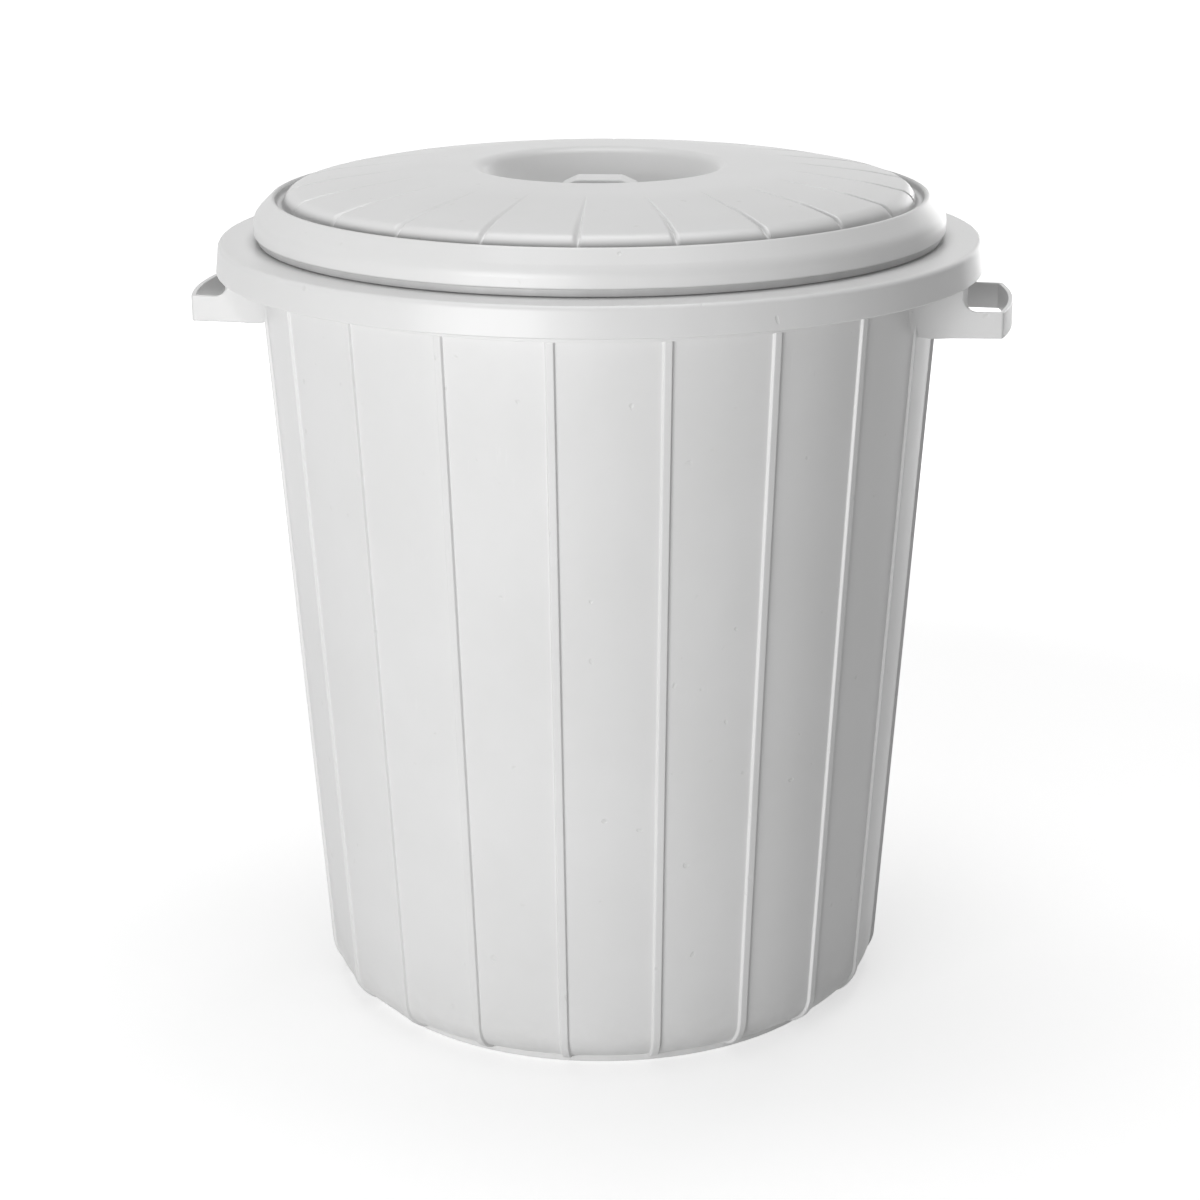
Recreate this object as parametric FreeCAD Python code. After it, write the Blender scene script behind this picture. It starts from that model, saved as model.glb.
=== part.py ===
"""Round moulded plastic bin with two loop grips and a lift-off lid.

Millimetres, +Z up. The origin is on the floor, on the bin's axis. The grips lie on +X and -X.
Three pieces: the bin body, the lid, and the strap grip that clips into the lid's recess.
"""
import FreeCAD, Part
import math
import os
from FreeCAD import Vector

os.makedirs("parts", exist_ok=True)
ORIGIN = Vector(0, 0, 0)
UP = Vector(0, 0, 1)
SAME = 1e-3               # two places closer than this count as one
MOST_OF_HALF = 0.499      # share of a straight stretch that one of its two roundings may take

# Bin body: radii and heights of the outside
body_h = 494.0            # top of the rim flange
wall_top_r = 213.0        # wall's outside, at the rim flange
wall_foot_r = 180.0       # the same slope carried down to the floor
wall_t = 2.6
floor_t = 3.0
base_round = 23.0         # outside rounding between wall and base
foot_inset = 17.0         # foot ring's outside, inside of the wall's foot
foot_t = 3.0
foot_h = 5.0

# Rim: flat flange, down-turned skirt and the collar under it
flange_w = 25.0           # flange beyond the wall
flange_t = 2.6
skirt_h = 18.0            # from the flange's top to the skirt's lower edge
skirt_flare = 2.0         # how much wider the skirt's lower edge is
skirt_t = 2.4
rim_round = 3.0
mouth_round = 1.0
collar_h = 25.5           # from the flange's top to the collar's lower edge

# Upright ribs round the wall; one of them lies on +X
rib_count = 20
rib_w = 5.5
rib_proud = 2.2

# Loop grips
grip_out = 20.5           # bar's outside beyond the flange
grip_t = 3.0
grip_h = 16.3             # height of the strap
grip_drop = 36.0          # from the flange's top to the strap's top
grip_tip_w = 97.0         # across the loop at the bar
grip_root_w = 104.0       # across the loop at the wall
grip_corner = 2.0
grip_bow = 195.0          # radius of the bar's outside in plan
grip_blend = 28.0         # hollow rounding between arm and wall
grip_blend_deg = 24.0     # where that rounding ends, from the grip's middle
web_back = 9.0            # edge of the web that carries the arms, inside of the flange's edge
web_round = 8.0

# Lid edge: lip, bead and the ring that locates the lid in the mouth
seat_gap = 0.3            # running clearance between lid and flange
mouth_clear = 1.4         # between the locating ring and the mouth
lid_t = 2.6
ring_h = 12.0             # how far the locating ring reaches into the mouth
ring_t = 2.4
lip_over = 6.0            # lip beyond the mouth
lip_h = 3.0
lip_round = 0.6
groove_h = 1.4            # hollow line between lip and bead
groove_deep = 1.6
bead_back = 0.6           # bead's outside, inside of the lip
bead_w = 12.8             # across the bead, from its outside to its crest
crest_h = 27.9            # crest of the bead above the flange, before it is rounded
crest_round = 2.0
bead_slope_h = 12.8       # from the crest down to where the bead's side begins
bead_round = 10.0
bead_foot_round = 0.8

# Lid dome, from the bead inwards; each height is told from the one before it
valley_deep = 9.7         # valley between bead and dome, below the bead's crest
valley_w = 3.5            # from the crest to the valley's bottom
valley_round = 2.2
shoulder_w = 7.0          # from the valley's bottom to the dome's steep shoulder
shoulder_rise = 13.8
shoulder_round = 14.5
crown_r = 121.0           # where the fluted zone begins
crown_rise = 9.7
crown_round = 160.0
collar_r = 76.0           # edge of the recess
collar_rise = 1.3
collar_round = 8.0
recess_draft = 17.0       # how much smaller the recess is at its floor
recess_deep = 28.0
recess_round = 6.0
lid_turn = 4.1            # degrees: how the lid happens to be set down

# Flutes: shallow V-shaped grooves down the dome and over its shoulder, deepest at the valley
flute_count = 22
flute_in = 1.0            # how far inside the fluted zone they fade out
flute_deep = 1.5
flute_spread = 1.8        # half width of a groove over its depth
flute_cut = 6.0           # height of the V that cuts a groove, above its keel
flute_stops = 6           # places on the shoulder's rounding that the keel passes through

# Strap grip in the recess
strap_sink = 8.0          # top of the strap below the edge of the recess
strap_t = 3.4
strap_w = 24.0            # across the strap
strap_flat = 28.0         # length of its flat top
strap_shoulder = 48.0     # length across its shoulders
strap_drop = 4.5          # from its top down to its shoulders
strap_span = 60.0         # length at the recess floor, outside
strap_round = 5.5
strap_edge = 1.2
tab_w = 16.0              # tongues that pass through the recess floor
tab_t = 3.0
tab_clear = 0.25
hook_clear = 0.2          # between the hooks and the underside of the recess floor
hook_h = 2.0
hook_reach = 1.2


def limited(round_r, before, corner, after):
    """The rounding that fits in a corner with the two stretches beside it."""
    back = before - corner
    ahead = after - corner
    half = back.getAngle(ahead) / 2.0
    room = MOST_OF_HALF * min(back.Length, ahead.Length)
    return min(round_r, room * math.tan(half))


def rounding(before, corner, after, round_r, count):
    """Points, evenly spaced, on the arc that rounds a corner and touches both of its stretches."""
    fit = limited(round_r, before, corner, after)
    to_before = (before - corner).normalize()
    to_after = (after - corner).normalize()
    inward = (to_before + to_after).normalize()
    onward = (to_after - to_before).normalize()
    half = to_before.getAngle(to_after) / 2.0
    centre = corner + inward * (fit / math.sin(half))
    bend = math.pi / 2.0 - half
    turns = [bend * (2.0 * i / (count - 1) - 1.0) for i in range(count)]
    return [centre + (onward * math.sin(turn) - inward * math.cos(turn)) * fit for turn in turns]


def outline(corners):
    """Closed wire through corners (u, v, rounding) in the XZ plane, with tangent arcs."""
    spots = [Vector(u, 0, v) for u, v, _ in corners]
    path = []
    ends = []
    for i, (_, _, round_r) in enumerate(corners):
        before, corner, after = spots[i - 1], spots[i], spots[(i + 1) % len(spots)]
        if round_r <= 0:
            ends.append((corner, corner))
            continue
        first, middle, last = rounding(before, corner, after, round_r, 3)
        path.append(Part.Arc(first, middle, last).toShape())
        ends.append((first, last))
    for i, (_, last) in enumerate(ends):
        following = ends[(i + 1) % len(ends)][0]
        path.append(Part.LineSegment(last, following).toShape())
    return Part.Wire(Part.__sortEdges__(path))


def turned(corners):
    """Solid of revolution about Z from a section (radius, height, rounding)."""
    return Part.Face(outline(corners)).revolve(ORIGIN, UP, 360)


def plate(corners, thickness):
    """Flat plate in the XZ plane, as thick along Y on both sides of it."""
    face = Part.Face(outline(corners))
    face.translate(Vector(0, -thickness / 2.0, 0))
    return face.extrude(Vector(0, thickness, 0))


def parallel(chain, gap):
    """Corners of a chain moved sideways by a gap, to the right of its run, without its two ends."""
    spots = [Vector(u, 0, v) for u, v, _ in chain]
    sides = []
    for start, end in zip(spots, spots[1:]):
        along = (end - start).normalize()
        sides.append(Vector(along.z, 0, -along.x))
    moved = []
    for (_, _, round_r), spot, one, two in zip(chain[1:-1], spots[1:-1], sides, sides[1:]):
        place = spot + (one + two) * (gap / (1 + one.dot(two)))
        turns_left = one.x * two.z - one.z * two.x > 0
        grown = gap if turns_left else -gap
        moved.append((place.x, place.z, max(0, round_r + grown)))
    return moved


def around(shape, count):
    """Copies of a shape, evenly spaced about the axis."""
    copies = []
    for i in range(count):
        copy = shape.copy()
        copy.rotate(ORIGIN, UP, 360.0 * i / count)
        copies.append(copy)
    return copies


def drum(radius, low, high):
    """Upright cylinder on the bin's axis between two heights."""
    return Part.makeCylinder(radius, high - low, Vector(0, 0, low))


def wall_r(z):
    """Outside radius of the wall at a height."""
    return wall_foot_r + (wall_top_r - wall_foot_r) * z / body_h


# ---------------------------------------------------------------- bin body

flange_under = body_h - flange_t
flange_r = wall_top_r + flange_w
collar_z = body_h - collar_h
skirt_z = body_h - skirt_h
skirt_r = flange_r + skirt_flare
floor_top = foot_h + floor_t
foot_r = wall_foot_r - foot_inset
mouth_r = wall_top_r - wall_t
grip_r = flange_r + grip_out
grip_top = body_h - grip_drop
grip_low = grip_top - grip_h
grip_root_r = wall_r(grip_top)
web_r = flange_r - web_back


def shell():
    """Floor, wall, collar, flange and skirt in one section."""
    return turned([
        (0, foot_h, 0),
        (wall_r(foot_h), foot_h, base_round),
        (wall_r(collar_z), collar_z, 0),
        (wall_r(collar_z) + rib_proud, collar_z, 0),
        (wall_r(flange_under) + rib_proud, flange_under, 0),
        (flange_r - skirt_t, flange_under, 0),
        (skirt_r - skirt_t, skirt_z, 0),
        (skirt_r, skirt_z, 0),
        (flange_r, body_h, rim_round),
        (mouth_r, body_h, mouth_round),
        (wall_r(floor_top) - wall_t, floor_top, base_round - wall_t),
        (0, floor_top, 0),
    ])


def foot_ring():
    """Ring that the bin stands on, sunk into the base by half the floor."""
    height = foot_h + floor_t / 2.0
    outer = Part.makeCylinder(foot_r, height)
    return outer.cut(Part.makeCylinder(foot_r - foot_t, height))


def rib():
    """One rib: it runs from the foot ring round the base corner and up to the collar."""
    root = wall_t / 2.0
    top = collar_z + root
    under = foot_h - rib_proud
    inside = foot_h + root
    bar = plate([
        (0, under, 0),
        (wall_r(under) + rib_proud, under, base_round + rib_proud),
        (wall_r(top) + rib_proud, top, 0),
        (wall_r(top) - root, top, 0),
        (wall_r(inside) - root, inside, base_round - root),
        (0, inside, 0),
    ], rib_w)
    return bar.cut(drum(foot_r - foot_t / 2.0, 0, inside + root))


def loop_plan(inset):
    """Half widths of the loop at the wall and past the bar, or of its inside when inset."""
    half_root = grip_root_w / 2.0 - inset
    half_tip = grip_tip_w / 2.0 - inset
    slope = (half_tip - half_root) / (grip_r - grip_root_r)
    past_x = grip_r + grip_t
    past_y = half_root + slope * (past_x - grip_root_r)
    return half_root, past_x, past_y, slope


def loop_outside():
    """Plan of the loop with the hollow roundings that run out into the wall."""
    half_root, past_x, past_y, _ = loop_plan(0)
    blend = math.radians(grip_blend_deg)
    end_x = grip_root_r * math.cos(blend)
    end_y = grip_root_r * math.sin(blend)
    near_x = math.sqrt(grip_root_r ** 2 - half_root ** 2)
    return [
        (end_x, -end_y, 0),
        (near_x, -half_root, grip_blend),
        (past_x, -past_y, 0),
        (past_x, past_y, 0),
        (near_x, half_root, grip_blend),
        (end_x, end_y, 0),
    ]


def loop_inside():
    """Plan of the finger space, from as far inside the wall as the loop's roundings begin."""
    half_root, past_x, past_y, slope = loop_plan(grip_t)
    near_x = grip_root_r * math.cos(math.radians(grip_blend_deg))
    near_y = half_root + slope * (near_x - grip_root_r)
    return [
        (near_x, -near_y, 0),
        (past_x, -past_y, 0),
        (past_x, past_y, 0),
        (near_x, near_y, 0),
    ]


def upright(plan, low, high):
    """Extrude a plan outline between two heights."""
    face = Part.Face(outline(plan))
    face.rotate(ORIGIN, Vector(1, 0, 0), -90)
    face.translate(Vector(0, 0, low))
    return face.extrude(Vector(0, 0, high - low))


def bow(inset, low, high):
    """Upright cylinder whose far side is the bar's outside, or its inside when inset."""
    centre = Vector(grip_r - grip_bow, 0, low)
    return Part.makeCylinder(grip_bow - inset, high - low, centre)


def is_upright_on_bow(edge):
    """Whether an edge is vertical and lies in the bar's outside."""
    first = edge.Vertexes[0].Point
    last = edge.Vertexes[-1].Point
    off_plumb = math.hypot(first.x - last.x, first.y - last.y)
    off_bow = math.hypot(first.x - (grip_r - grip_bow), first.y) - grip_bow
    return off_plumb < SAME and abs(off_bow) < SAME


def grip():
    """Loop grip on +X: bar, two arms, and the web that joins the arms to the flange."""
    high = body_h - flange_t / 2.0
    body = upright(loop_outside(), grip_low, high).common(bow(0, grip_low, high))
    corners = [e for e in body.Edges if is_upright_on_bow(e)]
    body = body.makeFillet(grip_corner, corners)
    hollow = upright(loop_inside(), grip_low, high).common(bow(grip_t, grip_low, high))
    past_x = grip_r + grip_t
    wide = 2.0 * grip_r * math.sin(math.radians(grip_blend_deg))
    side = plate([
        (0, grip_low, 0),
        (past_x, grip_low, 0),
        (past_x, grip_top, 0),
        (web_r, grip_top, web_round),
        (web_r, high, 0),
        (0, high, 0),
    ], wide)
    root = wall_t / 2.0
    bottom = Vector(0, 0, grip_low)
    core = Part.makeCone(wall_r(grip_low) - root, wall_r(high) - root, high - grip_low, bottom)
    return body.cut(hollow).common(side).cut(core)


def bin_body():
    pieces = [foot_ring()]
    pieces += around(rib(), rib_count)
    pieces += around(grip(), 2)
    return shell().multiFuse(pieces).removeSplitter()


# ---------------------------------------------------------------- lid

seat_z = body_h + seat_gap
lip_r = mouth_r + lip_over
lip_top = seat_z + lip_h
bead_r = lip_r - bead_back
bead_low = lip_top + groove_h
crest_r = bead_r - bead_w
crest_z = body_h + crest_h
bead_side = crest_z - bead_slope_h
valley_r = crest_r - valley_w
valley_z = crest_z - valley_deep
shoulder_r = valley_r - shoulder_w
shoulder_z = valley_z + shoulder_rise
crown_z = shoulder_z + crown_rise
collar_top = crown_z + collar_rise
recess_r = collar_r - recess_draft
recess_floor = collar_top - recess_deep
ring_r = mouth_r - mouth_clear
ring_low = body_h - ring_h
ring_low_r = wall_r(ring_low) - wall_t - mouth_clear
strap_z = collar_top - strap_sink
hook_low = recess_floor - lid_t - hook_clear - hook_h


def lid_top():
    """Outside of the lid, from the recess's middle out to the foot of the bead."""
    return [
        (0, recess_floor, 0),
        (recess_r, recess_floor, recess_round),
        (collar_r, collar_top, collar_round),
        (crown_r, crown_z, crown_round),
        (shoulder_r, shoulder_z, shoulder_round),
        (valley_r, valley_z, valley_round),
        (crest_r, crest_z, crest_round),
        (bead_r, bead_side, bead_round),
        (bead_r, bead_low, bead_foot_round),
    ]


def lid_shell():
    """Recess, dome, bead and lip above; below them the channel and the locating ring."""
    under = parallel(lid_top(), lid_t)
    crest, side = under[-2:]
    fall = (crest[1] - side[1]) / (side[0] - crest[0])
    ring_in = ring_r - ring_t
    return turned(lid_top() + [
        (bead_r - groove_deep, bead_low, 0),
        (bead_r - groove_deep, lip_top, 0),
        (lip_r, lip_top, lip_round),
        (lip_r, seat_z, lip_round),
        (bead_r - groove_deep - lid_t, seat_z, 0),
        (bead_r - lid_t, bead_low + lid_t, 0),
        (side[0], side[1], side[2]),
        (ring_r, crest[1] - fall * (ring_r - crest[0]), 0),
        (ring_r, body_h, 0),
        (ring_low_r, ring_low, 0),
        (ring_low_r - ring_t, ring_low, 0),
        (ring_in, crest[1] - fall * (ring_in - crest[0]), 0),
    ] + under[-2::-1] + [(0, recess_floor - lid_t, 0)])


def flute_cutter():
    """V-shaped groove whose keel leaves the dome near the crown and sinks deeper to the valley."""
    crown, shoulder, valley = [Vector(u, 0, v) for u, v, _ in lid_top()[3:6]]
    inward = (crown - shoulder).normalize()
    keel = [crown + inward * flute_in]
    keel += rounding(crown, shoulder, valley, shoulder_round, flute_stops)
    keel.append(valley)
    fall = [(end - start).normalize() for start, end in zip(keel, keel[1:])]
    fall.append(fall[-1])
    sections = []
    for spot, along in zip(keel, fall):
        sink = flute_deep * (spot.x - keel[0].x) / (valley_r - keel[0].x)
        low = spot + Vector(along.z, 0, -along.x) * sink
        half = flute_cut * flute_spread * along.x
        sections.append(Part.makePolygon([
            low,
            low + Vector(0, half, flute_cut),
            low + Vector(0, -half, flute_cut),
            low,
        ]))
    cutter = Part.makeLoft(sections, True, True)
    cutter.rotate(ORIGIN, UP, -90)
    return cutter


def tongue(grow, top):
    """One tongue on +X, or with growth the slot that it passes through."""
    width = tab_w + 2 * grow
    outer_x = strap_span / 2.0 + grow
    inner_x = strap_span / 2.0 - tab_t - grow
    corner = Vector(inner_x, -width / 2.0, hook_low)
    return Part.makeBox(outer_x - inner_x, width, top - hook_low, corner)


def lid():
    slots = around(tongue(tab_clear, recess_floor + lid_t), 2)
    shape = lid_shell().cut(Part.makeCompound(around(flute_cutter(), flute_count) + slots))
    shape.rotate(ORIGIN, UP, lid_turn)
    return shape


# ---------------------------------------------------------------- lid grip

def lid_grip():
    """Bridge of even thickness on two splayed legs, with a hooked tongue under each leg."""
    bend_z = strap_z - strap_drop
    half = [
        (strap_span / 2.0, recess_floor, 0),
        (strap_shoulder / 2.0, bend_z, strap_round),
        (strap_flat / 2.0, strap_z, strap_round),
    ]
    outer = [(-u, v, r) for u, v, r in half] + half[::-1]
    splay = (strap_span - strap_shoulder) / 2.0 / (bend_z - recess_floor)
    foot_in = strap_span / 2.0 - strap_t * math.hypot(1, splay)
    inner = [(foot_in, recess_floor, 0)] + parallel(outer, strap_t)[::-1] + [(-foot_in, recess_floor, 0)]
    strap = plate(outer + inner, strap_w)
    rims = [e for e in strap.Edges if e.BoundBox.YLength < SAME
            and e.BoundBox.ZMax - recess_floor > SAME]
    strap = strap.makeFillet(strap_edge, rims)
    hook = plate([
        (strap_span / 2.0 - tab_t, hook_low, 0),
        (strap_span / 2.0, hook_low, 0),
        (strap_span / 2.0 + hook_reach, hook_low + hook_h, 0),
        (strap_span / 2.0 - tab_t, hook_low + hook_h, 0),
    ], tab_w)
    shape = strap.multiFuse(around(tongue(0, recess_floor), 2) + around(hook, 2)).removeSplitter()
    shape.rotate(ORIGIN, UP, lid_turn)
    return shape


for name, shape in (("bin_body", bin_body()), ("lid", lid()), ("lid_grip", lid_grip())):
    print(name, len(shape.Solids), round(shape.Volume), shape.isValid())
    shape.exportStep("parts/%s.step" % name)
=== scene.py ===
"""Round moulded plastic bin with a lift-off lid, as the photograph shows it. Metres, +Z up."""
import math

import bpy
import numpy as np
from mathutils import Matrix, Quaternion, Vector


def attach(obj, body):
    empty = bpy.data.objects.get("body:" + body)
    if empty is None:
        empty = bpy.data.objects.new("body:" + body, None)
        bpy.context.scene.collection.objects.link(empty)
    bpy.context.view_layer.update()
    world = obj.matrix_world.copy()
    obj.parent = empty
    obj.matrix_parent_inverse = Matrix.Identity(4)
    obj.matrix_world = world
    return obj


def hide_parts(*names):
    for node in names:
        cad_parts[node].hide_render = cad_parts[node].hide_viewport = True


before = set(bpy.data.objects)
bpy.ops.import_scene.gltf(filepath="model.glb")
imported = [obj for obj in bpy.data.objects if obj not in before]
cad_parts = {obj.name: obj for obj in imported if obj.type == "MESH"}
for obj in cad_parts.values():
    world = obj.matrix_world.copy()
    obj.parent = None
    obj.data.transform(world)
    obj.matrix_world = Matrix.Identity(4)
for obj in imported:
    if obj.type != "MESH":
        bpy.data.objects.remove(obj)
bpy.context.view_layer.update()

# ---------------------------------------------------------------- camera
# The photograph looks slightly down at the bin, whose right grip is turned a little to the viewer.
# Distance, height, lens and tilt come from matching rim, lid, ribs and foot with the picture.

camera_turn = math.radians(7.7)
camera_reach = 1.6715         # from the bin's axis, seen from above
camera_height = 0.7800
camera_aim_z = 0.2515
camera_roll = -0.0051
camera_data = bpy.data.cameras.new("camera")
camera_data.lens = 80.2
camera_data.sensor_width = 36.0
camera_data.shift_x = -0.0014
camera = bpy.data.objects.new("camera", camera_data)
camera_side = camera_reach * math.sin(camera_turn)
camera_front = -camera_reach * math.cos(camera_turn)
camera.location = (camera_side, camera_front, camera_height)
camera_look = Vector((0, 0, camera_aim_z)) - camera.location
camera.rotation_mode = "QUATERNION"
camera.rotation_quaternion = camera_look.to_track_quat("-Z", "Y") @ Quaternion((0, 0, 1), camera_roll)
bpy.context.scene.collection.objects.link(camera)
bpy.context.scene.camera = camera
bpy.context.scene.view_settings.view_transform = "Standard"


# ---------------------------------------------------------------- floor, backdrop and lamps
# A pale studio floor that runs out into white, so that only the bin's soft shadow shows on it.
# Broad lamps stand overhead and at the front left, and a weak one behind on the right, so the right
# side stays in half shade.

class Value:
    """A node's output that is added, subtracted and multiplied as a number is."""

    def __init__(self, nodes, socket):
        self.nodes = nodes
        self.socket = socket

    def math(self, operation, *operands):
        """A Math node on the operands, such as this value."""
        return self.nodes.add("ShaderNodeMath", {"operation": operation}, dict(enumerate(operands)))

    def __add__(self, other):
        return self.math("ADD", self, other)

    def __sub__(self, other):
        return self.math("SUBTRACT", self, other)

    def __mul__(self, other):
        return self.math("MULTIPLY", self, other)

    def __radd__(self, other):
        return self.math("ADD", other, self)

    def __rsub__(self, other):
        return self.math("SUBTRACT", other, self)

    def __rmul__(self, other):
        return self.math("MULTIPLY", other, self)

    def ramp(self, low, high, start=0.0, end=1.0):
        """Smooth step from start to end as this value goes from low to high."""
        inputs = {0: self, 1: low, 2: high, 3: start, 4: end}
        return self.nodes.add("ShaderNodeMapRange", {"interpolation_type": "SMOOTHSTEP"}, inputs)


class Nodes:
    """One node tree. Each added node comes back as the Value of one of its outputs."""

    def __init__(self, tree):
        self.tree = tree
        tree.nodes.clear()

    def add(self, kind, settings=(), inputs=(), output=0):
        """A node of this type, with its settings and then the values or links of its inputs."""
        node =self.tree.nodes.new(kind)
        for name, setting in dict(settings).items():
            setattr(node, name, setting)
        for place, value in dict(inputs).items():
            if isinstance(value, Value):
                self.tree.links.new(value.socket, node.inputs[place])
            else:
                node.inputs[place].default_value = value
        return Value(self, node.outputs[output]) if len(node.outputs) else None

    def noise(self, where, scale, detail=2.0, roughness=0.5, distortion=0.0):
        """Smooth noise from 0 to 1 in features of about 1 / scale metres."""
        inputs = {"Vector": where, "Scale": scale, "Detail": detail,
                  "Roughness": roughness, "Distortion": distortion}
        return self.add("ShaderNodeTexNoise", inputs=inputs)


def material(name):
    made = bpy.data.materials.new(name)
    made.use_nodes = True
    return made, Nodes(made.node_tree)


def linked(obj):
    bpy.context.scene.collection.objects.link(obj)
    return obj


floor_reach = 12.0            # half of the floor's width
floor_grey = 0.68
floor_glow = (0.56, 1.0)      # what the camera sees added to the lit floor, near the bin and far off
glow_from, glow_to = 0.7, 1.4            # distances from the bin's axis between which it changes

floor_mesh = bpy.data.meshes.new("floor")
floor_corners = [(-floor_reach, -floor_reach, 0), (floor_reach, -floor_reach, 0),
                 (floor_reach, floor_reach, 0), (-floor_reach, floor_reach, 0)]
floor_mesh.from_pydata(floor_corners, [], [(0, 1, 2, 3)])
floor = linked(bpy.data.objects.new("floor", floor_mesh))
floor_material, n = material("floor_paint")
floor_place = n.add("ShaderNodeTexCoord", output=3)
floor_away = n.add("ShaderNodeVectorMath", {"operation": "LENGTH"}, {0: floor_place}, output=1)
seen = n.add("ShaderNodeLightPath", output=0)
mirrored = n.add("ShaderNodeLightPath", output=3)
glow = floor_away.ramp(glow_from, glow_to, *floor_glow) * seen.math("MAXIMUM", seen, mirrored)
black_to_white = {0: glow, 6: (0, 0, 0, 1), 7: (1, 1, 1, 1)}
tint = n.add("ShaderNodeMix", {"data_type": "RGBA"}, black_to_white, output=2)
floor_shader = n.add("ShaderNodeBsdfPrincipled", inputs={
    "Base Color": (floor_grey, floor_grey, floor_grey, 1), "Roughness": 0.9, "Specular IOR Level": 0.0,
    "Emission Color": tint, "Emission Strength": 1.0})
n.add("ShaderNodeOutputMaterial", inputs={"Surface": floor_shader})
floor_mesh.materials.append(floor_material)

ambient = 0.21                # what the white surroundings add to matt surfaces
world = bpy.data.worlds.new("studio")
world.use_nodes = True
bpy.context.scene.world = world
n = Nodes(world.node_tree)
seen = n.add("ShaderNodeLightPath", output=0)
mirrored = n.add("ShaderNodeLightPath", output=3)
through = n.add("ShaderNodeLightPath", output=6)
direct = seen.math("MAXIMUM", seen.math("MAXIMUM", seen, mirrored), through)
strength = direct * (1 - ambient) + ambient
backdrop = n.add("ShaderNodeBackground", inputs={"Color": (1, 1, 1, 1), "Strength": strength})
n.add("ShaderNodeOutputWorld", inputs={"Surface": backdrop})


def lamp(name, turn, rise, away, width, height, power):
    """Soft box facing the bin, at an angle round from the camera and one above the floor.

    Angles are in degrees, distance and size in metres, and power is in watts.
    """
    data = bpy.data.lights.new(name, "AREA")
    data.shape = "RECTANGLE"
    data.size = width
    data.size_y = height
    data.energy = power
    box = linked(bpy.data.objects.new(name, data))
    bearing = camera_turn + math.radians(turn)
    climb = math.radians(rise)
    level = math.cos(climb)
    toward = Vector((math.sin(bearing) * level, -math.cos(bearing) * level, math.sin(climb)))
    box.location = Vector((0, 0, camera_aim_z)) + toward * away
    box.rotation_mode = "QUATERNION"
    box.rotation_quaternion = (-toward).to_track_quat("-Z", "Y")
    box.visible_camera = False


lamp("front_left", turn=-28, rise=6, away=2.6, width=1.6, height=0.8, power=41)
lamp("overhead", turn=180, rise=84, away=2.4, width=1.6, height=1.2, power=27)
lamp("back_right", turn=150, rise=6, away=2.6, width=0.8, height=1.0, power=10)


# ---------------------------------------------------------------- moulded plastic
# Light grey polypropylene, semi-gloss from the mould: a faint grain, uneven gloss, shallow waves of
# shrinkage, sparse fine scuffs and nicks from handling, and a little dust low down. Where a material
# asks for it, rings of painted shade darken its colour.

plastic_ior = 1.49
dust_top = 0.07               # height up to which the dust reaches
dull_share = 0.93             # how light the dull spots are, next to the clean plastic
dull_blue_share = 0.925       # the same for blue, which leaves them a trace warmer
painted_shade_share = 0.6             # the same for the rings of painted shade


def plastic(name, grey, painted_shade_rings=()):
    """Plastic of one grey. Its colour runs from dull to clean with the noise, and nicks and dust
    make it duller.

    Painted shade lies in rings: each is a ramp in, a ramp out and a ramp up to where it ends, in metres.
    """
    made, n = material(name)
    place = n.add("ShaderNodeTexCoord", output=3)
    height = n.add("ShaderNodeSeparateXYZ", inputs={0: place}, output=2)
    stretched = n.add("ShaderNodeVectorMath", {"operation": "MULTIPLY"}, {0: place, 1: (1.0, 1.0, 0.08)})
    cloud = n.noise(place, 9.0, detail=3.0)
    mottle = n.noise(place, 70.0, detail=3.0, roughness=0.6)
    grain = n.noise(place, 1400.0, detail=2.0)
    waves = n.noise(place, 13.0, detail=1.0)
    handled = n.noise(place, 22.0, detail=1.0).ramp(0.52, 0.68)
    scuffs = n.noise(stretched, 420.0, detail=2.0, distortion=0.4).ramp(0.66, 0.74) * handled
    nicks = n.noise(place, 170.0, detail=0.0).ramp(0.82, 0.88)
    dust = (1 - height.ramp(0.0, dust_top)) * mottle.ramp(0.3, 0.7)
    shade = cloud.ramp(0.3, 0.7) * 0.5 + mottle * 0.3 + 0.2 - nicks * 0.9 - dust * 0.8 + scuffs * 0.3
    dull = (grey * dull_share, grey * dull_share, grey * dull_blue_share, 1)
    clean = (grey, grey, grey, 1)
    colour = n.add("ShaderNodeMix", {"data_type": "RGBA"}, {0: shade, 6: dull, 7: clean}, output=2)
    # Painted shade: each ring darkens the colour towards a deeper grey, unevenly with the mottle.
    if painted_shade_rings:
        flat = n.add("ShaderNodeVectorMath", {"operation": "MULTIPLY"}, {0: place, 1: (1, 1, 0)})
        radius = n.add("ShaderNodeVectorMath", {"operation": "LENGTH"}, {0: flat}, output=1)
        layers = [radius.ramp(*inner) * (1 - radius.ramp(*outer)) * (1 - height.ramp(*top))
                  for inner, outer, top in painted_shade_rings]
        painted_shade_amount = layers[0].math("MAXIMUM", *layers) * (0.7 + mottle * 0.4)
        painted_shade_colour = (grey * painted_shade_share, grey * painted_shade_share, grey * painted_shade_share, 1)
        plain_to_painted_shade = {0: painted_shade_amount, 6: colour, 7: painted_shade_colour}
        colour = n.add("ShaderNodeMix", {"data_type": "RGBA"}, plain_to_painted_shade, output=2)
    rough = 0.28 + cloud * 0.07 + mottle * 0.08 + grain * 0.05 + scuffs * 0.16 + dust * 0.2
    relief = grain * 0.00001 + mottle * 0.00003 + waves * 0.0006 - nicks * 0.0002 - scuffs * 0.00002
    normal = n.add("ShaderNodeBump", inputs={"Strength": 1.0, "Distance": 1.0, "Height": relief})
    shader = n.add("ShaderNodeBsdfPrincipled", inputs={
        "Base Color": colour, "Roughness": rough, "IOR": plastic_ior, "Normal": normal})
    n.add("ShaderNodeOutputMaterial", inputs={"Surface": shader})
    return made


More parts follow.
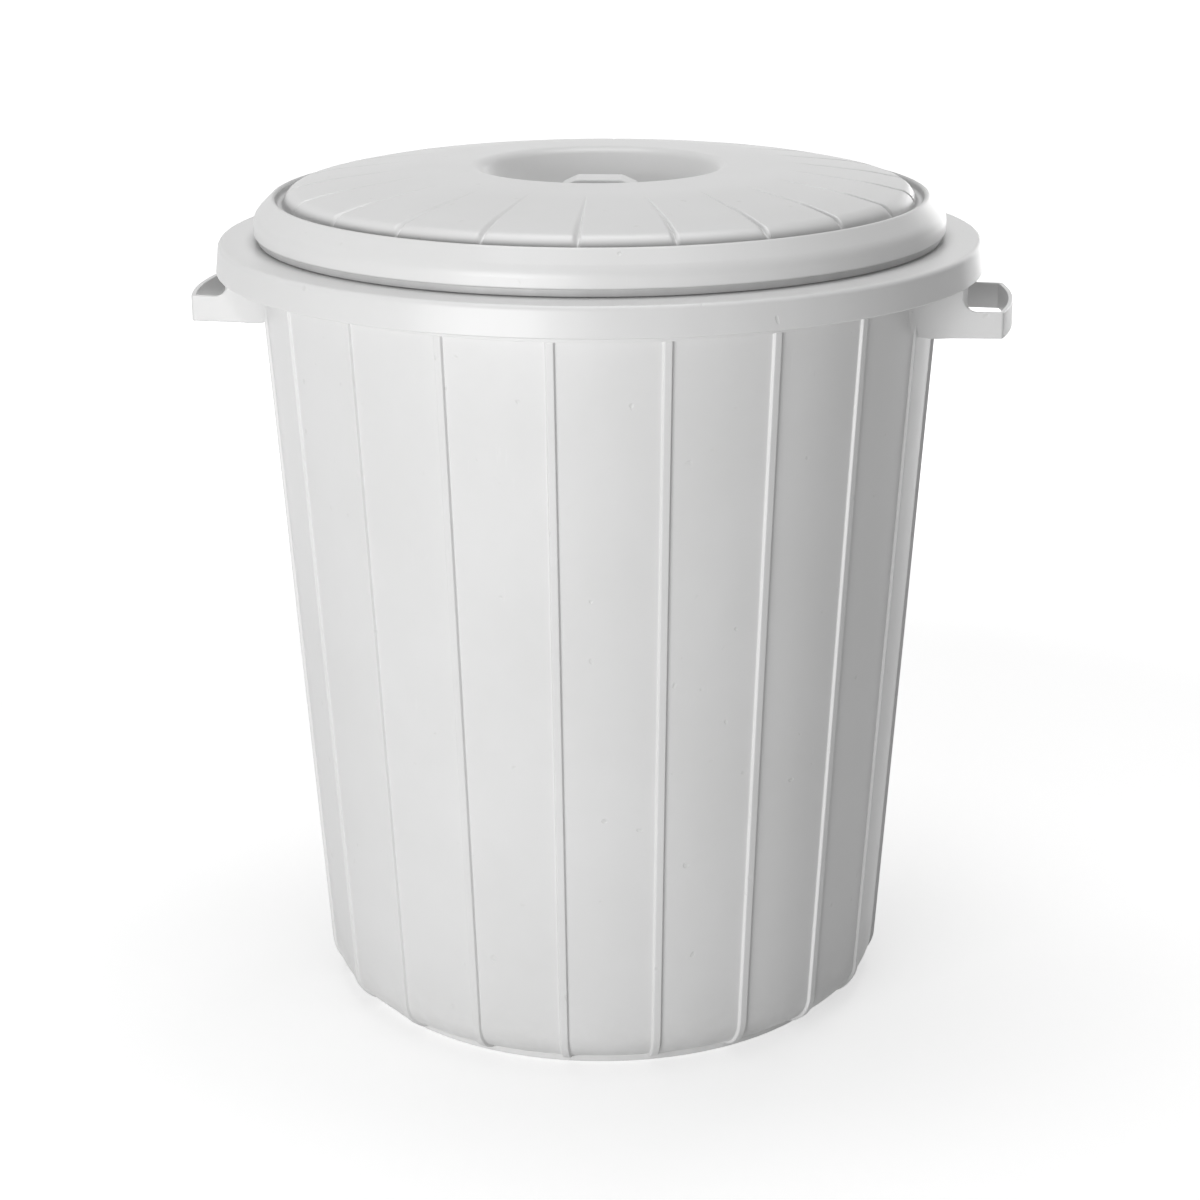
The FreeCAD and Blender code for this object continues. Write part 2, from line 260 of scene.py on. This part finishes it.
# ---------------------------------------------------------------- bin body
# One moulding: floor, foot ring, tapered wall with upright ribs, and a flat rim whose edge is
# turned down into a wide band. Sizes are in millimetres; skin() makes metres of them.

MM = 0.001
EDGE_HOLD = 0.45              # from a rounding to the next row, which keeps its shading narrow
ARC_STEP = math.radians(17)   # the most that a rounding turns from one row to the next
POLE_R = 3                  # radius of the innermost row, which a fan closes


def unit(vector):
    return vector / np.hypot(*vector)


def chain(corners, longest):
    """Points through corners (u, v, rounding), from the first to the last.

    A corner becomes an arc that touches both of its stretches. A straight stretch is divided evenly
    into pieces no longer than `longest`, with one more point close to each of its ends.
    """
    spots = np.array([corner[:2] for corner in corners], float)
    bends = [spots[:1]]
    for i, (_, _, radius) in enumerate(corners[1:-1], 1):
        back = unit(spots[i - 1] - spots[i])
        ahead = unit(spots[i + 1] - spots[i])
        half_angle = 0.5 * math.acos(np.clip(back @ ahead, -1, 1))
        turn = np.linspace(half_angle - math.pi / 2, math.pi / 2 - half_angle,
                           2 + math.ceil((math.pi - 2 * half_angle) / ARC_STEP))[:, None]
        inward = unit(back + ahead)
        onward = unit(ahead - back)
        centre = spots[i] + inward * radius / math.sin(half_angle)
        bends.append(centre + radius * (onward * np.sin(turn) - inward * np.cos(turn)))
    bends.append(spots[-1:])
    points = [bends[0]]
    for before, after in zip(bends, bends[1:]):
        run = after[0] - before[-1]
        length = np.hypot(*run)
        if length > 3 * EDGE_HOLD:
            count = 1 + math.ceil((length - 2 * EDGE_HOLD) / longest)
            share = np.linspace(EDGE_HOLD, length - EDGE_HOLD, count)[:, None] / length
            points.append(before[-1] + share * run)
        points.append(after)
    return np.concatenate(points)


def skin(name, grids):
    """One mesh of closed skins. Each grid is rows x columns x 3: its columns join up in a ring,
    and its first and last rows are closed by fans to their middles."""
    points, quads, fans = [], [], []
    offset = 0
    for grid in grids:
        rows, columns = grid.shape[:2]
        index = offset + np.arange(rows * columns).reshape(rows, columns)
        beside = np.roll(index, -1, axis=1)
        quads.append(np.stack([index[:-1], beside[:-1], beside[1:], index[1:]], axis=-1).reshape(-1, 4))
        middles = offset + rows * columns + np.array([0, 1])
        first = np.stack([np.full(columns, middles[0]), beside[0], index[0]], axis=-1)
        last = np.stack([np.full(columns, middles[1]), index[-1], beside[-1]], axis=-1)
        fans += [first, last]
        points += [grid.reshape(-1, 3), grid[[0, -1]].mean(axis=1)]
        offset += rows * columns + 2
    points = np.concatenate(points) * MM
    quads = np.concatenate(quads)
    fans = np.concatenate(fans)
    mesh = bpy.data.meshes.new(name)
    mesh.vertices.add(len(points))
    mesh.vertices.foreach_set("co", points.ravel())
    mesh.loops.add(quads.size + fans.size)
    mesh.loops.foreach_set("vertex_index", np.concatenate([quads.ravel(), fans.ravel()]))
    mesh.polygons.add(len(quads) + len(fans))
    starts = np.concatenate([np.arange(len(quads)) * 4, quads.size + np.arange(len(fans)) * 3])
    mesh.polygons.foreach_set("loop_start", starts)
    mesh.update(calc_edges=True)
    mesh.shade_smooth()
    return linked(bpy.data.objects.new(name, mesh))


def smooth(value):
    """Smooth step from 0 to 1 as the value goes from 0 to 1."""
    value = np.clip(value, 0, 1)
    return value * value * (3 - 2 * value)


rim_z = 494.0
floor_z = 8.0                 # the floor's upper face
foot_r = 163.0
foot_h = 5.0
foot_ring_w = 3.0
wall_foot_r, wall_top_r = 180.0, 213.0
wall_t = 2.6
base_round = 23.0
base_rows = 18
collar_z = 468.5
collar_proud = 2.2
flange_low_z = 491.4
flange_in_r = 215.0
band_low_z = 476.0
band_in_top_r, band_in_low_r = 235.6, 237.6
band_out_top_r, band_out_low_r = 238.0, 240.0
body_longest = 26             # the longest step between two rows
body_grey = 0.76
rib_count = 20
rib_proud = 1.9
rib_columns = (0.0, 1.4, 1.95, 2.2, 2.45, 2.7, 2.95, 3.25, 4.6)      # from the middle of a rib
rib_flank = (2.05, 3.05)
ribs_beside_grips = (1, 9, 11, 19)       # counted round from the right grip's middle
rib_end_z, rib_end_run = 441.0, 9.0      # where these ribs sink into the grips' hollows
panel_columns = (0.25, 0.5, 0.75)
narrow_r = 150.0              # inside of this radius the columns run straight to the axis


def wall_r(z):
    """Outside radius of the wall at a height."""
    return wall_foot_r + (wall_top_r - wall_foot_r) * z / rim_z


def around(u, azimuth, z):
    """Points at radius u, azimuth and height, which are arrays of one shape."""
    return np.stack([u * np.cos(azimuth), u * np.sin(azimuth), z], axis=-1)


# The base's rounding touches the wall above and runs down to the foot ring's outside.
slope = math.atan((wall_top_r - wall_foot_r) / rim_z)
arc_z = foot_h + base_round
arc_r = wall_r(arc_z) - base_round / math.cos(slope)
arc_low_turn = -math.acos((foot_r - arc_r) / base_round)
arc_turn = np.linspace(arc_low_turn, -slope, base_rows)[:, None]
arc_circle = np.concatenate([np.cos(arc_turn), np.sin(arc_turn)], axis=1)
base_arc = np.array([arc_r, arc_z]) + base_round * arc_circle
foot_rows = chain([
    (POLE_R, foot_h, 0),
    (foot_r - foot_ring_w, foot_h, 0.8),
    (foot_r - foot_ring_w, 0, 0.6),
    (foot_r, 0, 0.6),
    (foot_r, arc_z + base_round * math.sin(arc_low_turn), 0)], body_longest)
wall_rows = chain([
    tuple(base_arc[-1]) + (0,),
    (wall_r(collar_z), collar_z, 0.2),
    (wall_r(collar_z) + collar_proud, collar_z, 0.3),
    (flange_in_r, flange_low_z, 0.8),
    (band_in_top_r, flange_low_z, 1.2),
    (band_in_low_r, band_low_z, 0.5),
    (band_out_low_r, band_low_z, 0.8),
    (band_out_top_r, rim_z, 3.0),
    (wall_top_r - wall_t, rim_z, 1.0),
    (wall_r(floor_z) - wall_t, floor_z, base_round - wall_t),
    (POLE_R, floor_z, 0)], body_longest)
rows = np.concatenate([foot_rows[:-1], base_arc, wall_rows[1:]])
r, z = rows.T

# A rib rises from nothing at the foot ring to its full height where the base's rounding starts,
# keeps it up to the collar and ends on the collar's face. It stands square to the wall.
row = np.arange(len(rows))
arc_first = len(foot_rows) - 1
wall_first = arc_first + len(base_arc)
foot_row = np.argmax(r > foot_r - 0.01)
collar_row = np.argmax((row > wall_first) & (z > collar_z - 0.3))
collar_edge = np.argmax((row > wall_first) & (r > wall_r(collar_z) + collar_proud - 0.35))
length = np.concatenate([[0], np.cumsum(np.hypot(*np.diff(rows, axis=0).T))])
marks = length[[foot_row, arc_first, collar_row, collar_edge]]
rise = rib_proud * np.interp(length, marks, (0, 1, 1, 0), left=0, right=0)
face = np.interp(length, length[[arc_first, wall_first]], (arc_low_turn, -slope))
rib_side = np.array(rib_columns)
offset = np.concatenate([-rib_side[:0:-1], rib_side])
rib_height = 1 - smooth((np.abs(offset) - rib_flank[0]) / (rib_flank[1] - rib_flank[0]))
rib_height = np.tile(np.concatenate([rib_height, np.zeros(len(panel_columns))]), rib_count)
pitch = math.tau / rib_count
reach = np.maximum(r, narrow_r)[:, None]
on_rib = offset / reach
edge = rib_side[-1] / reach
between = edge + np.array(panel_columns) * (pitch - 2 * edge)
azimuth = np.concatenate([on_rib, between], axis=1)
azimuth = (azimuth[:, None, :] + pitch * np.arange(rib_count)[None, :, None]).reshape(len(rows), -1)
beside_grip = np.repeat(np.isin(np.arange(rib_count), ribs_beside_grips), len(rib_height) // rib_count)
ends = smooth((z - rib_end_z) / rib_end_run)[:, None] * beside_grip * (row >= wall_first)[:, None]
proud = rise[:, None] * rib_height * (1 - ends)
out = r[:, None] + np.cos(face)[:, None] * proud
up = z[:, None] + np.sin(face)[:, None] * proud
body_plastic = plastic("body_plastic", body_grey)
bin_shell = skin("bin_shell", [around(out, azimuth, up)])
bin_shell.data.materials.append(body_plastic)
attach(bin_shell, "bin")
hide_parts("bin_body")


# ---------------------------------------------------------------- loop grips
# On each side a flat strap loops out from the wall: two arms, a bar that follows the rim, and webs
# that carry the arms from the flange. They are moulded with the body and flow into its wall.

grip_r = 258.5                # the bar's outside in its middle
bar_bow = 195.0               # radius of the bar's outside
bar_centre = grip_r - bar_bow
grip_t = 3.0
grip_low, grip_top = 441.7, 458.0
grip_high = 492.7             # the webs end inside the flange
arm_foot_x, arm_foot_y = 210.6, 52.0     # a spot on the arm's outside, close to the wall
arm_spread = math.atan(3.5 / 47.9)       # the two arms draw together 3.5 mm each in 47.9 mm
arm_out = np.array([math.sin(arm_spread), math.cos(arm_spread)])
arm_along = np.array([math.cos(arm_spread), -math.sin(arm_spread)])
arm_line = arm_foot_x * math.sin(arm_spread) + arm_foot_y * math.cos(arm_spread)    # from the axis
web_x = 229.0
web_round = 8.0
bar_corner = 2.0
bar_corner_in = 0.8
blend_low, blend_high = 31.0, 47.0       # radius of the hollow at the strap's foot and at the collar
blend_sink = 0.15             # how deep in the wall's face the hollow starts
blend_lift = 7.0              # how much the hollow's foot rises to where it dies into the wall
grip_edge = 0.7               # rounding of the strap's edges
path_start = 188.0
corner_span, bar_span = 6.0, 43.0        # how much of the path's measure these two take


def corner_place(line, bar_r, corner):
    """How far out along the arm the circle's centre lies that touches arm and bar from inside."""
    off = line - corner - bar_centre * arm_out[0]
    return bar_centre * arm_along[0] + math.sqrt((bar_r - corner) ** 2 - off ** 2)


arm_end = corner_place(arm_line, bar_bow, bar_corner)


def grip_plan(along, z, inside):
    """Plan place of the strap's outer face, or its inner one, at a measure along half of the loop.

    The measure counts millimetres on the straight arm. Before it comes the hollow, a circle that
    touches wall and arm, and after it the corner, a circle that touches arm and bar, and the bar.
    """
    hollow = blend_low + (blend_high - blend_low) * smooth((z - grip_low) / (collar_z - grip_low))
    touch = wall_r(z) - blend_sink
    far = np.sqrt((touch + hollow) ** 2 - (arm_line + hollow) ** 2)
    line = arm_line - (grip_t if inside else 0)
    bar_r = bar_bow - (grip_t if inside else 0)
    corner = bar_corner_in if inside else bar_corner
    corner_at = corner_place(line, bar_r, corner)
    share = np.clip((along - path_start) / (far - path_start), 0, 1)
    bend = np.arctan2(far, arm_line + hollow) * (1 - share)
    if inside:
        buried = np.sqrt((wall_r(z) - wall_t / 2) ** 2 - line ** 2)
        start_q = buried + (far - buried) * share
        start_p = np.full_like(start_q, line)
    else:
        start_q = far - hollow * np.sin(bend)
        start_p = arm_line + hollow - hollow * np.cos(bend)
    arm_q = far + (along - far) * (corner_at - far) / (arm_end - far)
    centre_q, centre_p = bar_centre * arm_along[0], bar_centre * arm_out[0]
    last_turn = math.atan2(corner_at - centre_q, line - corner - centre_p)
    round_turn = last_turn * np.clip((along - arm_end) / corner_span, 0, 1)
    stretches = [along < far, along <= arm_end]
    q = np.select(stretches, [start_q, arm_q], corner_at + corner * np.sin(round_turn))
    p = np.select(stretches, [start_p, line], line - corner + corner * np.cos(round_turn))
    plan = p[..., None] * arm_out + q[..., None] * arm_along
    bar_turn = math.pi / 2 - last_turn - arm_spread
    bar_turn = bar_turn * (1 - np.clip((along - arm_end - corner_span) / bar_span, 0, 1))
    bar = np.stack([bar_centre + bar_r * np.cos(bar_turn), bar_r * np.sin(bar_turn)], axis=-1)
    return np.where((along > arm_end + corner_span)[..., None], bar, plan)


# The top edge runs inside the flange, down the web's front edge, round its foot, and along arm and
# bar; the low edge is level but for its lift in the hollow. Both have a point in each row, and the
# stretches keep a little apart, so that no two rows fall together.
web_at = (web_x - arm_line * arm_out[0]) / arm_along[0]
half_way = arm_end + corner_span + bar_span
hollow_rows, web_rows, fillet_rows = 16, 6, 9
arm_rows, corner_rows, bar_rows = 4, 8, 9
fillet = np.radians(np.linspace(180, 270, fillet_rows))
fillet_path = np.stack([web_at + web_round + web_round * np.cos(fillet),
                        grip_top + web_round + web_round * np.sin(fillet)], axis=1)
loop_path = np.concatenate([
    np.linspace(web_at + web_round + 1, arm_end - 0.3, arm_rows),
    np.linspace(arm_end, arm_end + corner_span, corner_rows),
    np.linspace(arm_end + corner_span + 1, half_way, bar_rows)])
top_rail = np.concatenate([
    [(t, grip_high) for t in np.linspace(path_start, web_at - 2, hollow_rows)],
    [(web_at, h) for h in np.linspace(grip_high, grip_top + web_round + 1, web_rows)],
    fillet_path,
    [(t, grip_top) for t in loop_path]])
top_in = np.concatenate([
    np.tile((0, -1), (hollow_rows, 1)),
    np.tile((-1, 0), (web_rows, 1)),
    np.stack([np.cos(fillet), np.sin(fillet)], axis=1),
    np.tile((0, -1), (len(loop_path), 1))])
low_path = np.concatenate([
    np.linspace(path_start, web_at - 9, hollow_rows),
    np.linspace(web_at - 8, web_at, web_rows),
    np.linspace(web_at + 1, web_at + web_round, fillet_rows),
    loop_path])
lift_end = web_at - 12
low_share = np.clip((low_path - path_start) / (lift_end - path_start), 0, 1)
low_rail = np.stack([low_path, grip_low + blend_lift * (1 - low_share) ** 2], axis=1)
low_in = np.tile((0, 1), (len(low_rail), 1))

# Round the strap: its outer face from low to high, the top's two roundings, the inner face from
# high to low, and the foot's two roundings.
quarter = np.radians((0, 22.5, 45, 67.5, 90))
drop = grip_edge * (1 - np.sin(quarter))
step = grip_edge * (1 - np.cos(quarter))
face_share = np.array((0.02, 0.2, 0.4, 0.6, 0.8, 0.98))
flat_face = np.full(len(face_share), 1.0)
rounds = np.concatenate([drop, drop[::-1]])
shifts = np.concatenate([step, step[::-1]])
share = np.concatenate([face_share, np.ones(len(rounds)), face_share[::-1], np.zeros(len(rounds))])
depth = np.concatenate([flat_face * grip_edge, rounds, flat_face * grip_edge, rounds])
shift = np.concatenate([flat_face * 0, shifts, flat_face * 0, shifts])
place = np.arange(len(share))
is_inner = (place >= len(face_share) + len(quarter)) & (place < len(share) - len(quarter))
low = low_rail[:, None] + low_in[:, None] * depth[None, :, None]
top = top_rail[:, None] + top_in[:, None] * depth[None, :, None]
spot = low + (top - low) * share[None, :, None]
outer_face = grip_plan(spot[..., 0], spot[..., 1], False)
inner_face = grip_plan(spot[..., 0], spot[..., 1], True)
across = inner_face - outer_face
across /= np.linalg.norm(across, axis=-1, keepdims=True)
plan = np.where(is_inner[None, :, None], inner_face - across * shift[None, :, None],
                outer_face + across * shift[None, :, None])
half_loop = np.concatenate([plan, spot[..., 1:]], axis=-1)
other_half = half_loop[-2::-1] * (1, -1, 1)
loop = np.concatenate([half_loop, other_half])
for name, turned in (("grip_right", 1), ("grip_left", -1)):
    grip = skin(name, [loop * (turned, turned, 1)])
    grip.data.materials.append(body_plastic)
    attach(grip, "bin")


# ---------------------------------------------------------------- lid
# One moulding that lies loose on the rim: a thin lip, a sloping bead with its crest beside a narrow
# valley, a shallow dome with radial flutes that run over its steep shoulder, and a round recess;
# under it a ring that drops into the mouth.

lid_t = 2.6
recess_z = 509.0
lip_low_z = 498.7
lid_top = [
    (POLE_R, recess_z, 0),
    (59.0, recess_z, 6.0),
    (76.0, 537.0, 8.0),
    (121.0, 535.7, 160.0),
    (170.0, 529.5, 130.0),
    (193.5, 524.4, 11.0),
    (199.5, 512.6, 2.0),
    (203.0, 521.9, 2.0),
    (215.8, 509.1, 10.0),
    (215.8, lip_low_z, 0.8),
    (213.4, lip_low_z, 0.3)]
under_least = 0.6             # the tightest rounding of the underside
ring_in_low_r, ring_in_top_r = 205.8, 206.6
ring_out_low_r, ring_out_r = 208.2, 209.0
ring_low_z, ring_taper_z = 482.0, 494.0
foot_in_r, foot_out_r = 210.9, 213.4     # the lip's foot, close over the rim
foot_low_z = 494.3
foot_top_r, foot_top_z = 213.2, 501.0
foot_corner_z = 499.6
lid_longest = 11
lid_grey = 0.76

flute_count = 22
flute_from, flute_to = 118.0, 199.0
flute_wide = (1.2, 3.9)       # width of a flute's long flank where it begins and at the valley
flute_columns = (-1.3, -1.0, -0.82, -0.64, -0.46, -0.28, -0.08, 0.08, 0.2, 0.33, 0.45, 0.6, 0.9)
flute_short = 0.45            # the short flank's width over the long one's
flute_hollow = 1.6            # power by which the long flank falls; 1 would be straight
flute_keel = [(flute_from, 535.9, 0), (165.0, 529.0, 60.0), (188.0, 522.8, 25.0), (flute_to, 516.5, 0)]
panel_share = (0.1, 0.37, 0.63, 0.9)
lid_narrow_r = 110.0          # inside of this radius the columns run straight to the axis
lid_askew = 4.1               # degrees by which the lid lies turned on the bin
lid_turn = math.radians(lid_askew - 90)


def parallel(corners, gap, least):
    """Corners of a chain, without its ends, moved by a gap to the right of its run: each lies on the
    bisector of its corner, and each arc keeps its centre but is never tighter than the least."""
    spots = np.array([corner[:2] for corner in corners], float)
    along = np.diff(spots, axis=0)
    along /= np.hypot(*along.T)[:, None]
    sides = np.stack([along[:, 1], -along[:, 0]], axis=1)
    one, two = sides[:-1], sides[1:]
    moved = spots[1:-1] + gap * (one + two) / (1 + (one * two).sum(axis=1, keepdims=True))
    turn = one[:, 0] * two[:, 1] - one[:, 1] * two[:, 0]
    bends = np.array([corner[2] for corner in corners[1:-1]]) + gap * np.sign(turn)
    return [(*spot, max(least, bend)) for spot, bend in zip(moved, bends)]


*dome_under, crest_under, bead_under, _ = parallel(lid_top, lid_t, under_least)
bead_fall = (crest_under[1] - bead_under[1]) / (bead_under[0] - crest_under[0])


def bead_under_z(radius):
    """Height of the sloping bead's underside: the crest's, less the fall for each millimetre out."""
    return crest_under[1] - bead_fall * (radius - crest_under[0])


lid_profile = chain([
    (POLE_R, recess_z - lid_t, 0),
    *dome_under,
    crest_under,
    (ring_in_top_r, bead_under_z(ring_in_top_r), 1.0),
    (ring_in_low_r, ring_low_z, 0.5),
    (ring_out_low_r, ring_low_z, 0.7),
    (ring_out_r, ring_taper_z, 1.0),
    (ring_out_r, bead_under_z(ring_out_r), 0.8),
    bead_under,
    (foot_top_r, foot_top_z, 0.5),
    (foot_in_r, foot_corner_z, 0.5),
    (foot_in_r, foot_low_z, 0.3),
    (foot_out_r, foot_low_z, 0.5),
    *lid_top[:0:-1],
    (POLE_R, recess_z, 0)], lid_longest)
r, z = lid_profile.T

# The flutes are cut down to the keel, a line that all their bottoms follow. The underside sinks as
# much as the top face above it, which is one thickness away square to the profile.
step = np.diff(lid_profile, axis=0)
step /= np.hypot(*step.T)[:, None]
bisector = step[:-1] + step[1:]
bisector /= np.hypot(*bisector.T)[:, None]
run = np.concatenate([step[:1], bisector, step[-1:]])
outward = np.stack([run[:, 1], -run[:, 0]], axis=1)
below = np.arange(len(r)) < np.argmax(r)
top_r, top_z = np.where(below[:, None], lid_profile - lid_t * outward, lid_profile).T
keel = chain(flute_keel, 4)
deep = np.clip(top_z - np.interp(top_r, *keel.T), 0, None) * (top_r > flute_from) * (top_r < flute_to)
wide = np.interp(top_r, (flute_from, flute_to), flute_wide)
place = np.array(flute_columns)
dip = np.where(place < 0, np.clip(1 + place, 0, 1) ** flute_hollow, np.clip(1 - place / flute_short, 0, 1))
dip = np.tile(np.concatenate([dip, np.zeros(len(panel_share))]), flute_count)
pitch = math.tau / flute_count
reach = np.maximum(r, lid_narrow_r)
on_flute = place * (wide / reach)[:, None]
left = on_flute[:, -1:]
right = pitch + on_flute[:, :1]
azimuth = np.concatenate([on_flute, left + np.array(panel_share) * (right - left)], axis=1)
azimuth = (azimuth[:, None, :] + pitch * np.arange(flute_count)[None, :, None]).reshape(len(r), -1)
azimuth = azimuth + lid_turn
up = z[:, None] - deep[:, None] * dip
out = np.broadcast_to(r[:, None], up.shape)

# Painted shade in two dark rings: down in the valley, and under the bead, on the foot that the lid stands
# on.
valley_painted_shade = ((0.192, 0.1965), (0.2025, 0.2045), (0.519, 0.5245))
under_bead_painted_shade = ((0.2115, 0.2125), (0.5, 0.6), (0.4985, 0.5002))
lid_plastic = plastic("lid_plastic", lid_grey, painted_shade_rings=(valley_painted_shade, under_bead_painted_shade))
lid_shell = skin("lid_shell", [around(out, azimuth, up)])
lid_shell.data.materials.append(lid_plastic)
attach(lid_shell, "lid")
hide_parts("lid")


# ---------------------------------------------------------------- lid grip
# A strap bent into a bridge over the recess floor, on two splayed legs. A tongue under each leg
# passes through the floor and hooks under it.

strap_w = 24.0
strap_t = 2.6
strap_crown = 0.4             # how much lower the strap's edges lie than its middle line
strap_half = [(30.1, 508.6, 0), (24.0, 524.5, 5.5), (14.0, 529.0, 5.5)]
tongue_in_x, tongue_out_x = 27.0, 30.0
tongue_low_z, tongue_top_z = 504.2, 509.4
hook_x, hook_z = 31.2, 506.2
grip_longest = 4
grip_grey = 0.78

strap_path = chain(strap_half + [(-x, z, bend) for x, z, bend in strap_half[::-1]], grip_longest)
along_path = np.gradient(strap_path, axis=0)
along_path /= np.hypot(*along_path.T)[:, None]
outward = np.stack([along_path[:, 1], -along_path[:, 0]], axis=1)
half_w = strap_w / 2
section = chain([
    (0, -strap_t, 0),
    (-half_w, -strap_t, 0.8),
    (-half_w, 0, 1.3),
    (half_w, 0, 1.3),
    (half_w, -strap_t, 0.8),
    (0, -strap_t, 0)], grip_longest)[:-1]
across, depth = section.T
depth = depth - strap_crown * (across / half_w) ** 2 * (depth > -strap_t / 2)
flat = strap_path[:, None] + outward[:, None] * depth[None, :, None]
strap = np.stack([flat[..., 0], np.broadcast_to(across, flat.shape[:2]), flat[..., 1]], axis=-1)

tongue_middle_x = (tongue_in_x + tongue_out_x) / 2
tongue_loop = chain([
    (tongue_middle_x, tongue_low_z, 0),
    (tongue_out_x, tongue_low_z, 0.3),
    (hook_x, hook_z, 0.3),
    (tongue_out_x, hook_z, 0.1),
    (tongue_out_x, tongue_top_z, 0.1),
    (tongue_in_x, tongue_top_z, 0.1),
    (tongue_in_x, tongue_low_z, 0.4),
    (tongue_middle_x, tongue_low_z, 0)], grip_longest)[:-1]
middle = tongue_loop.mean(axis=0)
tongue_y = np.array((-8.0, -7.7, -7.3, 7.3, 7.7, 8.0))      # rows from side to side
tongue_size = np.array((0.88, 1.0, 1.0, 1.0, 1.0, 0.88))    # the two end rows are drawn in
flat = middle + (tongue_loop - middle)[None] * tongue_size[:, None, None]
tongue_across = np.broadcast_to(tongue_y[:, None], flat.shape[:2])
tongue = np.stack([flat[..., 0], tongue_across, flat[..., 1]], axis=-1)

askew = math.radians(lid_askew)
turning = np.array([
    [math.cos(askew), math.sin(askew), 0],
    [-math.sin(askew), math.cos(askew), 0],
    [0, 0, 1]])
grip_plastic = plastic("grip_plastic", grip_grey)
lid_grip = skin("lid_grip_strap", [strap @ turning, tongue @ turning, tongue * (-1, -1, 1) @ turning])
lid_grip.data.materials.append(grip_plastic)
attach(lid_grip, "lid")
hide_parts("lid_grip")
